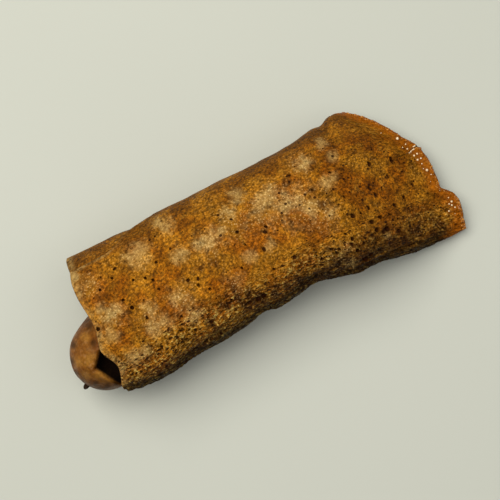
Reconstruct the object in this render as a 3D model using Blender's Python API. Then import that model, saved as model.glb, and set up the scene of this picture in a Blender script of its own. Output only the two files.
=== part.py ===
"""A grilled sausage rolled up in a thin buckwheat galette, as it lies on a plate.

Metres, +Z up. +X runs along the roll to its flat, flared end, and the sausage shows at the -X end.
The origin is the middle of the box's underside. Angles go round the roll in degrees: 0 is the +Y side,
90 the top, 180 the -Y side and 270 the underside. They run on past 360 as the sheet winds inwards.
"""

import math

import bpy
from mathutils import Vector, noise

# Sheet of the galette
SHEET = 0.0020
RIM_SHARE = 0.55
LAYER_GAP = 0.0005
PITCH = SHEET + LAYER_GAP

# Sausage
SAUSAGE_RADIUS = 0.0145
SAUSAGE_GAP = 0.0006
SAUSAGE_TIP_RADIUS = 0.0140
SAUSAGE_TIP_X = -0.0648
SAUSAGE_END_X = 0.0275
TIP_BEND_X = -0.0530
TIP_BEND = 21.0
TIP_DROOP = 0.0017
KNOT_RADIUS = 0.0015
KNOT_LENGTH = 0.0020
TAPER_FROM_X = -0.0452
SAUSAGE_ASIDE = 0.0018
SAUSAGE_ASIDE_X = 0.0175
SAUSAGE_ASIDE_WIDTH = 0.0150

# The dark dent in the sausage's upper side at the mouth: a wedge seen from above, run on under the sheet
DENT_DEPTH = 0.0085
DENT_TIP_X = -0.0697
DENT_TIP_Y = -0.0152
DENT_FAR_SLOPE = 0.92
DENT_NEAR_SLOPE = 0.50
DENT_WALL = 0.0014
DENT_FADE_FROM_X = -0.0610
DENT_FADE_TO_X = -0.0520

# The roll's height where it holds the sausage, and at its flat end
FULL_HEIGHT = 2 * (SAUSAGE_RADIUS + SAUSAGE_GAP + SHEET + PITCH)
FLAT_HEIGHT = 0.0064
FALL_START_X = 0.0270
FALL_END_X = 0.0830

# The ridge over the sausage, and the two sides of the roll seen from above.
# A crease or dent is (middle, width, depth), and a negative depth swells outwards
RIDGE_Y = -0.0052
RIDGE_BEND = 0.90
RIDGE_BEND_X = 0.0052
FAR_SIDE_Y = 0.0260
UNDER_LAYER = 0.0019
UNDER_LAYER_FROM_X = -0.0400
UNDER_LAYER_TO_X = -0.0290
FAR_BULGE = 0.0040
FAR_BULGE_X = 0.0520
FAR_BULGE_WIDTH = 0.0150
FAR_CREASES = ((0.0456, 0.0030, 0.0013), (0.0580, 0.0040, 0.0009))
NEAR_SIDE_Y = -0.0295
NEAR_WAIST = 0.0046
NEAR_WAIST_X = 0.0032
NEAR_WAIST_WIDTH = 0.0300
NEAR_FLARE = 0.0020
NEAR_CREASES = (
    (-0.0635, 0.0050, 0.0012),
    (-0.0485, 0.0060, -0.0006),
    (-0.0340, 0.0070, 0.0008),
    (-0.0065, 0.0045, 0.0007),
    (0.0012, 0.0040, -0.0007),
    (0.0182, 0.0078, 0.0027),
    (0.0285, 0.0040, 0.0008),
    (0.0430, 0.0090, 0.0018),
)

# Roundness of the section's four quarters: 2 is an ellipse, and more is squarer
TOP_FAR_POWER = 2.35
TOP_NEAR_POWER = 2.05
BOTTOM_POWER = 2.5
FLAT_DEPTH = 0.0010
SLOPE_SPACING = 1.15

# The sheet steps one layer inwards over this stretch of each winding
STEP_IN_FROM = 292.0
STEP_IN_TO = 336.0

# The sheet's outer and inner free edges, as angles
OUTER_EDGE = -18.0
OUTER_EDGE_RISE = 60.0
OUTER_EDGE_RISE_FROM_X = -0.0120
OUTER_EDGE_RISE_TO_X = -0.0500
OUTER_EDGE_FADE = 125.0
INNER_EDGE = 755.0
LOOSE_FROM = 630.0
LOOSE_REACH = 0.0225

# The curved rim at the flat end: an arc seen from above, with a bay, dents and a slanting slit
RIM_CENTRE_X = 0.0244
RIM_CENTRE_Y = -0.0172
RIM_RADIUS = 0.0576
RIM_CORNER_Y = 0.0390
RIM_CURL = 0.0016
RIM_CURL_WIDTH = 0.0065
RIM_CURL_TO = 200.0
BAY_DEPTH = 0.0034
BAY_Y = -0.0087
BAY_WIDTH = 0.0088
BAY_WIDTH_TO_TIP = 0.0052
RIM_DENTS = ((-0.0104, 0.0018, 0.0013), (-0.0255, 0.0045, 0.0008))
SLIT_DEPTH = 0.0048
SLIT_ANGLE = 72.0
SLIT_HALF_ANGLE = 0.9
SLIT_SHARE = 0.92
SLIT_SLANT = 2.4
SLIT_SLANT_FROM = 0.0078
SLIT_SLANT_WIDTH = 6.0
SLIT_LIP = 0.0004
SLIT_LIP_ANGLE = 73.8
SLIT_LIP_WIDTH = 1.2

# The mouth at the sausage's end
MOUTH_X = -0.0640
MOUTH_LEAN = 0.14
MOUTH_CORNER = 0.0022
MOUTH_CORNER_FROM_Y = 0.0150
MOUTH_CORNER_TO_Y = 0.0270
MOUTH_NEAR = 0.0008
MOUTH_NEAR_FROM_Y = -0.0270
MOUTH_NEAR_TO_Y = -0.0295
MOUTH_DENTS = (
    (0.0110, 0.0085, -0.0011),
    (-0.0100, 0.0050, -0.0021),
    (-0.0185, 0.0035, 0.0012),
    (-0.0262, 0.0022, -0.0010),
)

# Where the sheet ends along the roll, past the parts above: (angle, x)
MOUTH_WITHIN = (
    (180, -0.0633),
    (228, -0.0636),
    (262, -0.0640),
    (345, -0.0622),
    (405, -0.0636),
    (455, -0.0590),
    (630, -0.0490),
    (755, -0.0490),
)
RIM_WITHIN = (
    (180, 0.0800),
    (225, 0.0765),
    (270, 0.0705),
    (342, 0.0420),
    (450, 0.0580),
    (540, 0.0650),
    (630, 0.0560),
    (755, 0.0460),
)

# Relief of the browned surface, drawn as noise round a drum of the roll's mean radius
LUMP = 0.0007
LUMP_SIZE = 0.0130
BLISTER = 0.0003
BLISTER_SIZE = 0.0045
DRUM_RADIUS = 0.0220

# Moves the middle of the box's underside onto the origin
ORIGIN_SHIFT = (-0.0017, 0.0008, 0.0)

# Mesh steps, and how far to either side the sheet's slope is measured
NORMAL_REACH = 0.0004
NORMAL_TURN = 1.0
OUTER_STEPS = 40
INNER_STEPS = 32
SLIT_ROWS = 2
LENGTH_STEPS = 36
SAUSAGE_SIDES = 32
SAUSAGE_STEPS = 12
TIP_FROM_X = -0.0520
TIP_STEPS = 10
END_CAP_STEPS = 5
TIP_CAP_STEPS = 10


def ramp(low, high, value):
    """Runs smoothly from 0 at low to 1 at high."""
    share = min(max((value - low) / (high - low), 0.0), 1.0)
    return share * share * (3.0 - 2.0 * share)


def hump(value, middle, width):
    """A smooth hill that is 1 at its middle."""
    return math.exp(-(((value - middle) / width) ** 2))


def dented(value, dents):
    """How deep a row of (middle, width, depth) dents reaches."""
    return sum(depth * hump(value, middle, width) for middle, width, depth in dents)


def between(keys, angle):
    """The smooth value at an angle, from (angle, value) pairs."""
    for (first, low), (last, high) in zip(keys, keys[1:]):
        if angle <= last:
            return low + (high - low) * ramp(first, last, angle)
    return keys[-1][1]


def ridge_y(x):
    return RIDGE_Y - RIDGE_BEND * (x - RIDGE_BEND_X) ** 2


def far_side_y(x):
    under_layer = UNDER_LAYER * (1.0 - ramp(UNDER_LAYER_FROM_X, UNDER_LAYER_TO_X, x))
    bulge = FAR_BULGE * hump(x, FAR_BULGE_X, FAR_BULGE_WIDTH)
    return FAR_SIDE_Y + under_layer + bulge - dented(x, FAR_CREASES)


def near_side_y(x):
    waist = NEAR_WAIST * hump(x, NEAR_WAIST_X, NEAR_WAIST_WIDTH) + dented(x, NEAR_CREASES)
    return NEAR_SIDE_Y + waist - NEAR_FLARE * ramp(FALL_START_X, FALL_END_X, x)


def height(x):
    return FULL_HEIGHT + (FLAT_HEIGHT - FULL_HEIGHT) * ramp(FALL_START_X, FALL_END_X, x)


def part_of_axis(amount, power):
    """A superellipse's cosine or sine."""
    return math.copysign(abs(amount) ** (2.0 / power), amount)


def relief(x, angle):
    """How far the browned surface swells outwards."""
    turn = math.radians(angle)
    place = Vector((x, DRUM_RADIUS * math.cos(turn), DRUM_RADIUS * math.sin(turn)))
    lump = 0.5 + 0.5 * noise.noise(place / LUMP_SIZE)
    blister = 0.5 + 0.5 * noise.noise(place / BLISTER_SIZE)
    return LUMP * lump + BLISTER * blister


def spacing(x):
    """How much further apart the windings lie where the roll's top slopes down."""
    step = 1e-4
    slope = (height(x + step) - height(x - step)) / (2 * step)
    return math.hypot(1.0, SLOPE_SPACING * slope)


def layer_depth(angle):
    """How deep below the roll's outer surface a winding lies."""
    layers = ramp(STEP_IN_FROM, STEP_IN_TO, angle) + ramp(STEP_IN_FROM, STEP_IN_TO, angle - 360.0)
    return PITCH * layers


def section_point(x, angle):
    """A point of the sheet's outer face. The roll's weight flattens each winding underneath."""
    turn = math.radians(angle)
    cosine = math.cos(turn)
    sine = math.sin(turn)
    lowest = layer_depth(angle)
    depth = lowest * spacing(x) - relief(x, angle)
    far = far_side_y(x) - ridge_y(x) - depth
    near = ridge_y(x) - near_side_y(x) - depth
    if angle > LOOSE_FROM:
        far = LOOSE_REACH
    half_height = height(x) / 2 + FLAT_DEPTH - depth
    if sine < 0:
        power = BOTTOM_POWER
    elif cosine > 0:
        power = TOP_FAR_POWER
    else:
        power = TOP_NEAR_POWER
    y = ridge_y(x) + (far if cosine > 0 else near) * part_of_axis(cosine, power)
    z = height(x) / 2 + half_height * part_of_axis(sine, power)
    return y, max(z, lowest)


def rim_y(angle):
    """How far across the sheet an angle of the outer winding lies, measured at the rim."""
    if angle < 0:
        reach = RIM_CORNER_Y - far_side_y(FAR_BULGE_X)
        return far_side_y(FAR_BULGE_X) + reach * angle / OUTER_EDGE
    return section_point(FAR_BULGE_X, angle)[0]


def rim_x(angle):
    """Where the sheet ends at the flat end."""
    if angle > 180:
        return between(RIM_WITHIN, angle)
    y = min(rim_y(angle), RIM_CORNER_Y)
    arc = RIM_CENTRE_X + math.sqrt(RIM_RADIUS**2 - (y - RIM_CENTRE_Y) ** 2)
    width = BAY_WIDTH if y > BAY_Y else BAY_WIDTH_TO_TIP
    return arc - BAY_DEPTH * hump(y, BAY_Y, width) - dented(y, RIM_DENTS)


def mouth_x(angle):
    """Where the sheet ends at the sausage's end."""
    y, z = section_point(MOUTH_X, angle)
    lean = MOUTH_LEAN * (z - height(MOUTH_X) / 2)
    if angle > 180:
        return between(MOUTH_WITHIN, angle) + lean
    corner = MOUTH_CORNER * ramp(MOUTH_CORNER_FROM_Y, MOUTH_CORNER_TO_Y, y)
    near = MOUTH_NEAR * ramp(MOUTH_NEAR_FROM_Y, MOUTH_NEAR_TO_Y, y)
    return MOUTH_X + corner + near + lean + dented(y, MOUTH_DENTS)


def winding_angles():
    """The angles of the mesh rows, from the outer free edge to the inner one."""
    outer = [OUTER_EDGE + (STEP_IN_FROM - OUTER_EDGE) * i / OUTER_STEPS for i in range(OUTER_STEPS)]
    inner = [STEP_IN_FROM + (INNER_EDGE - STEP_IN_FROM) * i / INNER_STEPS for i in range(INNER_STEPS + 1)]
    slit = [SLIT_ANGLE + SLIT_HALF_ANGLE * i for i in range(-SLIT_ROWS, SLIT_ROWS + 1)]
    clear = SLIT_HALF_ANGLE * (SLIT_ROWS + 0.5)
    outer = [angle for angle in outer if abs(angle - SLIT_ANGLE) > clear]
    return sorted(outer + slit + inner)


def face_point(x, angle, rim):
    """A point of the outer face, which curls up towards the rim."""
    y, z = section_point(x, angle)
    if angle < RIM_CURL_TO:
        from_rim = max(0.0, 1.0 - (rim - x) / RIM_CURL_WIDTH)
        z += RIM_CURL * from_rim**2 * max(0.0, math.sin(math.radians(angle)))
    return Vector((x, y, z))


def sheet_point(row_angle, share):
    """The outer face's point and outward direction on a row, at a share of its length from the mouth."""
    rim = rim_x(row_angle)
    x = mouth_x(row_angle) + share * (rim - mouth_x(row_angle))
    rise = OUTER_EDGE_RISE * (1.0 - ramp(OUTER_EDGE_RISE_TO_X, OUTER_EDGE_RISE_FROM_X, x))
    angle = row_angle + rise * (1.0 - ramp(OUTER_EDGE, OUTER_EDGE + OUTER_EDGE_FADE, row_angle))
    x = mouth_x(angle) + share * (rim - mouth_x(angle))
    torn = max(0.0, 1.0 - abs(row_angle - SLIT_ANGLE) / SLIT_HALF_ANGLE)
    spread = SLIT_LIP * hump(row_angle, SLIT_LIP_ANGLE, SLIT_LIP_WIDTH)
    at_slit = ramp(SLIT_SHARE, 1.0, share)
    x += (spread - SLIT_DEPTH * torn) * at_slit
    slant = SLIT_SLANT * hump(row_angle, SLIT_ANGLE, SLIT_SLANT_WIDTH)
    angle -= slant * ramp(rim - SLIT_SLANT_FROM, rim, x)
    along = face_point(x + NORMAL_REACH, angle, rim) - face_point(x - NORMAL_REACH, angle, rim)
    around = face_point(x, angle + NORMAL_TURN, rim) - face_point(x, angle - NORMAL_TURN, rim)
    return face_point(x, angle, rim), around.cross(along).normalized()


def material(name, colour, roughness):
    made = bpy.data.materials.new(name)
    made.use_nodes = True
    shader = made.node_tree.nodes["Principled BSDF"]
    shader.inputs["Base Color"].default_value = (*colour, 1.0)
    shader.inputs["Roughness"].default_value = roughness
    shader.inputs["Metallic"].default_value = 0.0
    return made


def mesh_object(name, points, faces, look):
    mesh = bpy.data.meshes.new(name)
    mesh.from_pydata(points, [], faces)
    mesh.materials.append(look)
    mesh.shade_smooth()
    made = bpy.data.objects.new(name, mesh)
    made.location = ORIGIN_SHIFT
    bpy.context.scene.collection.objects.link(made)
    return made


def make_galette():
    """The sheet, wound twice round the sausage: an outer face, an inner face and the edge between them."""
    rows = winding_angles()
    across = LENGTH_STEPS + 1
    last_row = len(rows) - 1
    outer = []
    inner = []
    for row, row_angle in enumerate(rows):
        for step in range(across):
            even = step / LENGTH_STEPS
            eased = (1.0 - math.cos(math.pi * even)) / 2
            point, outward = sheet_point(row_angle, (even + eased) / 2)
            on_edge = row in (0, last_row) or step in (0, LENGTH_STEPS)
            outer.append(point)
            inner.append(point - outward * SHEET * (RIM_SHARE if on_edge else 1.0))
    within = len(outer)
    faces = []
    for row in range(last_row):
        for step in range(LENGTH_STEPS):
            first = row * across + step
            corners = (first, first + across, first + across + 1, first + 1)
            faces.append(corners)
            faces.append(tuple(corner + within for corner in reversed(corners)))
    edge = list(range(across))
    edge += [row * across + LENGTH_STEPS for row in range(1, last_row)]
    edge += [last_row * across + step for step in range(LENGTH_STEPS, 0, -1)]
    edge += [row * across for row in range(last_row, 0, -1)]
    for first, after in zip(edge, edge[1:] + edge[:1]):
        faces.append((first, after, after + within, first + within))
    look = material("browned_batter", (0.30, 0.13, 0.025), 0.6)
    return mesh_object("galette", outer + inner, faces, look)


def sausage_axis(x):
    """The sausage's axis: it runs under the ridge, and its tip bends towards -Y and droops."""
    aside = SAUSAGE_ASIDE * hump(x, SAUSAGE_ASIDE_X, SAUSAGE_ASIDE_WIDTH)
    bend = TIP_BEND * max(0.0, TIP_BEND_X - x) ** 2
    droop = TIP_DROOP * ramp(TAPER_FROM_X, SAUSAGE_TIP_X, x)
    return Vector((x, ridge_y(x) + aside - bend, FULL_HEIGHT / 2 - droop))


def steps_between(first, last, count):
    return [first + (last - first) * i / count for i in range(count)]


def sausage_stations():
    """The poles, and the centre, direction and radius of each ring between them."""
    small = 1e-4
    stations = []
    body = steps_between(SAUSAGE_END_X, TIP_FROM_X, SAUSAGE_STEPS)
    for x in body + steps_between(TIP_FROM_X, SAUSAGE_TIP_X, TIP_STEPS) + [SAUSAGE_TIP_X]:
        heading = (sausage_axis(x - small) - sausage_axis(x + small)).normalized()
        slimmer = ramp(TAPER_FROM_X, SAUSAGE_TIP_X, x) * (SAUSAGE_RADIUS - SAUSAGE_TIP_RADIUS)
        stations.append((sausage_axis(x), heading, SAUSAGE_RADIUS - slimmer))
    first_centre, first_heading, first_radius = stations[0]
    last_centre, last_heading, last_radius = stations[-1]
    lead = []
    for step in range(END_CAP_STEPS - 1, 0, -1):
        turn = math.pi / 2 * step / END_CAP_STEPS
        centre = first_centre - first_heading * first_radius * math.sin(turn)
        lead.append((centre, first_heading, first_radius * math.cos(turn)))
    tail = []
    for step in range(1, TIP_CAP_STEPS):
        turn = math.pi / 2 * step / TIP_CAP_STEPS
        radius = max(last_radius * math.cos(turn), KNOT_RADIUS)
        tail.append((last_centre + last_heading * last_radius * math.sin(turn), last_heading, radius))
    knot = last_centre + last_heading * (last_radius + KNOT_LENGTH)
    tail.append((knot - last_heading * KNOT_RADIUS / 2, last_heading, KNOT_RADIUS))
    poles = (first_centre - first_heading * first_radius, knot)
    return poles, lead + stations + tail


def dent(point):
    """How deep the dent reaches below the casing's upper side."""
    aside = point.y - DENT_TIP_Y
    slope = DENT_FAR_SLOPE if aside > 0 else DENT_NEAR_SLOPE
    inside = ramp(0.0, DENT_WALL, point.x - DENT_TIP_X - slope * abs(aside))
    return DENT_DEPTH * inside * (1.0 - ramp(DENT_FADE_FROM_X, DENT_FADE_TO_X, point.x))


def make_sausage():
    (start, knot), stations = sausage_stations()
    points = [start]
    for centre, heading, radius in stations:
        side = Vector((heading.y, -heading.x, 0.0)).normalized()
        up = side.cross(heading).normalized()
        if up.z < 0:
            up.negate()
        for step in range(SAUSAGE_SIDES):
            turn = 2 * math.pi * step / SAUSAGE_SIDES
            point = centre + (side * math.cos(turn) + up * math.sin(turn)) * radius
            point.z -= dent(point) * max(0.0, math.sin(turn))
            points.append(point)
    points.append(knot)
    faces = []
    for step in range(SAUSAGE_SIDES):
        after = (step + 1) % SAUSAGE_SIDES
        faces.append((0, 1 + step, 1 + after))
        for ring in range(len(stations) - 1):
            near = 1 + ring * SAUSAGE_SIDES
            far = near + SAUSAGE_SIDES
            faces.append((near + step, far + step, far + after, near + after))
        last = 1 + (len(stations) - 1) * SAUSAGE_SIDES
        faces.append((last + step, len(points) - 1, last + after))
    return mesh_object("sausage", points, faces, material("grilled_casing", (0.25, 0.11, 0.05), 0.42))


def main():
    for old in list(bpy.data.objects):
        bpy.data.objects.remove(old, do_unlink=True)
    make_galette()
    make_sausage()


main()
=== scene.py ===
"""The looks of the sausage galette: browned buckwheat batter with pores and pale flour bloom, a crisp
greasy rim, and a grilled sausage whose tied tip shows in the mouth.

Metres, in the part's own frame: +X along the roll to the flat rim, +Z up. Angles go round the roll in
degrees: 0 is the +Y side, 90 the top, 180 the -Y side, 270 the underside, and on past 360 inwards.
"""

import itertools
import math

import bpy
import numpy as np
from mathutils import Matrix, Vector, noise


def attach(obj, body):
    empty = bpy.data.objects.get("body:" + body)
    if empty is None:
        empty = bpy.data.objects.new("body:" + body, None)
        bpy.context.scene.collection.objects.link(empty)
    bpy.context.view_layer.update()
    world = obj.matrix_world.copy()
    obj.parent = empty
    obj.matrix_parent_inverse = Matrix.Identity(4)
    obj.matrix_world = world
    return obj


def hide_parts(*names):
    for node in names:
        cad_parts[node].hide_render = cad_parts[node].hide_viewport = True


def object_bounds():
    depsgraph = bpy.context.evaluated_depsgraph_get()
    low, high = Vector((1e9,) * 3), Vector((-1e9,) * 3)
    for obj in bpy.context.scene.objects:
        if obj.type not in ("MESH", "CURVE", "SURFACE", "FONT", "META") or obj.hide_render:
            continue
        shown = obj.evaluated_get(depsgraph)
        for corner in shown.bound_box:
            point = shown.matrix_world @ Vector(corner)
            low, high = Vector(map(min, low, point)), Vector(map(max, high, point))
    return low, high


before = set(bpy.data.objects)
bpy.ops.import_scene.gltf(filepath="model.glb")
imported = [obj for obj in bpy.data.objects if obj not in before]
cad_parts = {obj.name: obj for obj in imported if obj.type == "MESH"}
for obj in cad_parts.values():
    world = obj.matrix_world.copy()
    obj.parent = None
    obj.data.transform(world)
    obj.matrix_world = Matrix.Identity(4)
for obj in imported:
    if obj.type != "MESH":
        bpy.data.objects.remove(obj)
cad_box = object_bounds()
scene = bpy.context.scene

SEED = 11

# The sheet's shape, as in the part's source. Rows of dents and creases hold their middles, widths and
# depths, the near side's waist first, and rows of (angle, x) say where the windings within end.
SHEET = 0.0020
RIM_SHARE = 0.55
LAYER_GAP = 0.0005
PITCH = SHEET + LAYER_GAP
SAUSAGE_RADIUS = 0.0145
SAUSAGE_GAP = 0.0006
FULL_HEIGHT = 2 * (SAUSAGE_RADIUS + SAUSAGE_GAP + SHEET + PITCH)
FLAT_HEIGHT = 0.0064
FALL_X = (0.0270, 0.0830)
RIDGE_Y = -0.0052
RIDGE_BEND = 0.90
RIDGE_BEND_X = 0.0052
FAR_SIDE_Y = 0.0260
UNDER_LAYER = 0.0019
UNDER_LAYER_X = (-0.0400, -0.0290)
FAR_BULGE = 0.0040
FAR_BULGE_X = 0.0520
FAR_BULGE_WIDTH = 0.0150
FAR_CREASES = ((0.0456, 0.0030, 0.0013), (0.0580, 0.0040, 0.0009))
NEAR_SIDE_Y = -0.0295
NEAR_FLARE = 0.0020
NEAR_DENTS = (
    (0.0032, 0.0300, 0.0046), (-0.0635, 0.0050, 0.0012), (-0.0485, 0.0060, -0.0006),
    (-0.0340, 0.0070, 0.0008), (-0.0065, 0.0045, 0.0007), (0.0012, 0.0040, -0.0007),
    (0.0182, 0.0078, 0.0027), (0.0285, 0.0040, 0.0008), (0.0430, 0.0090, 0.0018),
)
TOP_FAR_POWER = 2.35
TOP_NEAR_POWER = 2.05
BOTTOM_POWER = 2.5
FLAT_DEPTH = 0.0010
SLOPE_SPACING = 1.15
STEP_IN_FROM = 292.0
STEP_IN_TO = 336.0
OUTER_EDGE = -18.0
OUTER_EDGE_RISE = 60.0
OUTER_EDGE_RISE_X = (-0.0500, -0.0120)
OUTER_EDGE_FADE = 125.0
INNER_EDGE = 755.0
LOOSE_FROM = 630.0
LOOSE_REACH = 0.0225
RIM_CENTRE_X = 0.0244
RIM_CENTRE_Y = -0.0172
RIM_RADIUS = 0.0576
RIM_CORNER_Y = 0.0390
RIM_CURL = 0.0016
RIM_CURL_WIDTH = 0.0065
RIM_CURL_TO = 200.0
BAY_DEPTH = 0.0034
BAY_Y = -0.0087
BAY_WIDTH = 0.0088
BAY_WIDTH_TO_TIP = 0.0052
RIM_DENTS = ((-0.0104, 0.0018, 0.0013), (-0.0255, 0.0045, 0.0008))
SLIT_DEPTH = 0.0048
SLIT_ANGLE = 72.0
SLIT_HALF_ANGLE = 0.9
SLIT_SHARE = 0.92
SLIT_SLANT = 2.4
SLIT_SLANT_FROM = 0.0078
SLIT_SLANT_WIDTH = 6.0
SLIT_LIP = ((73.8, 1.2, 0.0004),)
MOUTH_X = -0.0640
MOUTH_LEAN = 0.14
MOUTH_CORNER = 0.0022
MOUTH_CORNER_Y = (0.0150, 0.0270)
MOUTH_NEAR = 0.0008
MOUTH_NEAR_Y = (-0.0270, -0.0295)
MOUTH_DENTS = (
    (0.0110, 0.0085, -0.0011), (-0.0100, 0.0050, -0.0021),
    (-0.0185, 0.0035, 0.0012), (-0.0262, 0.0022, -0.0010),
)
MOUTH_WITHIN = (
    (180, -0.0633), (228, -0.0636), (262, -0.0640), (345, -0.0622),
    (405, -0.0636), (455, -0.0590), (630, -0.0490), (755, -0.0490),
)
RIM_WITHIN = (
    (180, 0.0800), (225, 0.0765), (270, 0.0705), (342, 0.0420),
    (450, 0.0580), (540, 0.0650), (630, 0.0560), (755, 0.0460),
)
LUMPS = ((0.0007, 0.0130), (0.0003, 0.0045))
DRUM_RADIUS = 0.0220
ORIGIN_SHIFT = np.array([-0.0017, 0.0008, 0.0])
SMALL_STEP = 1e-4

# The sausage's shape, as in the part's source
SAUSAGE_TIP_RADIUS = 0.0140
SAUSAGE_TIP_X = -0.0648
SAUSAGE_END_X = 0.0275
TIP_BEND_X = -0.0530
TIP_BEND = 21.0
TIP_DROOP = 0.0017
KNOT_RADIUS = 0.0015
KNOT_LENGTH = 0.0020
TAPER_FROM_X = -0.0452
SAUSAGE_ASIDE = ((0.0175, 0.0150, 0.0018),)
DENT_DEPTH = 0.0085
DENT_TIP_X = -0.0697
DENT_TIP_Y = -0.0152
DENT_FAR_SLOPE = 0.92
DENT_NEAR_SLOPE = 0.50
DENT_WALL = 0.0014
DENT_FADE_X = (-0.0610, -0.0520)

# Mesh steps of the sheet: fine on the outer winding's outer face, coarse elsewhere
COLUMN_RATIO = 4
COARSE_COLUMNS = 100
FINE_COLUMNS = COLUMN_RATIO * COARSE_COLUMNS
SEEN_TO = 204.0
SEEN_ROWS = 172
UNDER_ROWS = 20
MIDDLE_ROWS = 36
MIDDLE_TO = 450.0
WITHIN_ROWS = 44
INSIDE_ROWS = 80
SLIT_ROW_STEP = 0.3
SLIT_ROWS = 4
EDGE_ROUND = 0.0004

# Fine relief of the browned surface, cut into the part's outline
RELIEF_SINK = 0.00008
FLANK_SINK = 0.00008
DIMPLE = 0.00034
DIMPLE_SIZE = 0.0062
BEND = 0.0020
BEND_SIZE = 0.011
WRINKLE = 0.00085
WRINKLE_LENGTH = 0.0130
WRINKLE_WIDTH = 0.0021
WRINKLE_SHARPNESS = 2.4
COMB = 0.00034
COMB_LENGTH = 0.0036
COMB_WIDTH = 0.0016
COMB_DRIFT = 1.5
GRAIN = 0.00007
GRAIN_SIZE = 0.0010
RAG = 0.0007
RAG_TURN = 4.0
PORE_DEPTH = 0.0010

# Angles, and places along the roll, between which the broad fields of the browned face come and go
WANDER = 22.0
FAR_ANGLES = (66.0, 24.0)
FLAP_ANGLES = ((330.0, 342.0), (470.0, 430.0))
UNDER_ANGLES = (205.0, 240.0)
SHADED_ANGLES = (104.0, 138.0)
SHADED_X = ((0.006, 0.030), (0.078, 0.052))
FLANK_FROM = (124.0, 158.0)
FLANK_TO = (242.0, 206.0)
NEAR_ANGLES = ((96.0, 130.0), (260.0, 216.0))
NEAR_FADE_X = (0.020, 0.050)
FLAT_ANGLES = (40.0, 80.0)
FLAT_X = (0.000, 0.046)
RIM_BAND = 0.0052
RIM_BAND_AT_TIP = 0.0105
TIP_ANGLES = (132.0, 158.0)

# Marks that stand out in the photo, read off it. Each has its pixel across, its pixel down and its radius
# in pixels. First the dark pores.
PORE_PIXELS = (
    (199, 286, 2.0), (188, 280, 1.7), (198, 279, 1.3), (210, 289, 1.5), (132, 308, 2.0), (123, 300, 1.5),
    (100, 290, 1.3), (145, 278, 1.4), (153, 280, 1.4), (159, 289, 1.2), (156, 262, 1.4), (114, 269, 1.2),
    (112, 278, 1.1), (133, 280, 1.1), (178, 338, 1.9), (98, 329, 2.0), (147, 318, 1.4), (232, 300, 1.4),
    (237, 232, 1.9), (242, 268, 1.3), (266, 227, 1.5), (265, 232, 2.0), (264, 250, 1.8), (274, 269, 1.2),
    (289, 175, 1.9), (231, 219, 1.2), (294, 258, 1.1), (370, 164, 2.2), (388, 176, 1.9), (392, 161, 1.8),
    (391, 158, 1.4), (412, 183, 1.8), (376, 194, 1.9), (383, 190, 1.7), (370, 188, 1.3), (353, 216, 2.2),
    (361, 213, 1.2), (372.5, 222, 2.3), (377, 230, 2.6), (388, 229, 2.6), (384, 232, 1.7), (400, 231, 1.9),
    (395, 205, 2.1), (404, 197, 1.4), (380.6, 217, 2.0), (369, 208, 1.4), (390, 214, 1.3), (364, 243, 1.6),
    (332, 250, 1.9), (337.5, 254, 1.9), (353, 239, 1.8), (357.5, 250.6, 1.9), (295, 257, 1.8),
    (346, 234, 1.3), (366, 259, 2.6), (371, 255, 1.8), (352, 244, 1.5), (340, 250, 1.6), (456, 225, 1.5),
    (312, 190, 1.3), (330, 172, 1.3), (345, 197, 1.4), (322, 259, 1.3), (258, 300, 3.2), (264, 296, 2.8),
    (250, 303, 2.2), (302, 229, 1.0), (246, 245, 1.1), (182, 317, 1.2), (162, 347, 1.5), (196, 330, 1.6),
    (212, 322, 1.7),
)

# Pale floury patches
FLOUR_PIXELS = (
    (138, 254, 13), (130, 257, 8), (181, 254, 9), (176, 257, 7), (109, 315, 10), (102, 310, 7), (118, 309, 7),
    (148, 308, 8), (176, 299, 8), (194, 315, 9), (156, 328, 9), (165, 322, 8), (111, 336, 8), (134, 358, 9),
    (146, 352, 7), (208, 240, 10), (219, 233, 9), (200, 246, 8), (305, 163, 7), (300, 166, 6), (287, 202, 11),
    (297, 198, 9), (310, 206, 9), (261, 202, 9), (270, 195, 9), (236, 195, 8), (328, 183, 8), (332, 177, 6),
    (271, 245, 7), (321, 143, 6), (332, 156, 6), (387, 235, 4), (74, 277, 5), (71, 285, 4), (166, 226, 8),
    (158, 222, 6), (228, 212, 7), (352, 262, 6), (250, 258, 7), (330, 214, 6),
)

# Scorched smudges, and dark marks of painted shade in creases and along the near edge
SCORCH_AND_SHADE_PIXELS = (
    (262, 298, 9), (253, 302, 7), (246, 306, 6), (272, 293, 7), (338, 263, 6), (347, 259, 6), (99, 328, 5),
    (390, 228, 6), (383, 232, 5), (440, 222, 6), (352, 216, 5), (322, 205, 5), (284, 182, 5), (213, 262, 7),
    (200, 268, 6), (232, 288, 7), (342, 176, 6), (405, 210, 5), (416, 214, 4), (415, 228, 7), (432, 219, 5),
    (433, 232, 5), (398, 214, 5), (397, 232, 4), (300, 282, 7), (320, 276, 6), (370, 257, 7), (390, 243, 6),
    (404, 240, 6), (330, 270, 6), (420, 234, 6), (240, 297, 6), (250, 292, 6), (287, 286, 6), (308, 278, 6),
    (318, 270, 5), (358, 259, 5), (380, 251, 6), (360, 266, 5), (275, 287, 6), (225, 306, 6), (210, 322, 6),
)

# Broad sheens, painted as pale highlights on the grease
SHEEN_HIGHLIGHT_PIXELS = (
    (297, 206, 30), (262, 214, 24), (236, 226, 20), (322, 216, 20), (208, 246, 18), (272, 196, 18),
    (182, 300, 18), (150, 318, 14), (116, 316, 14), (236, 284, 14), (90, 286, 14), (300, 165, 14),
    (334, 258, 13), (344, 250, 10),
)
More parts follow.
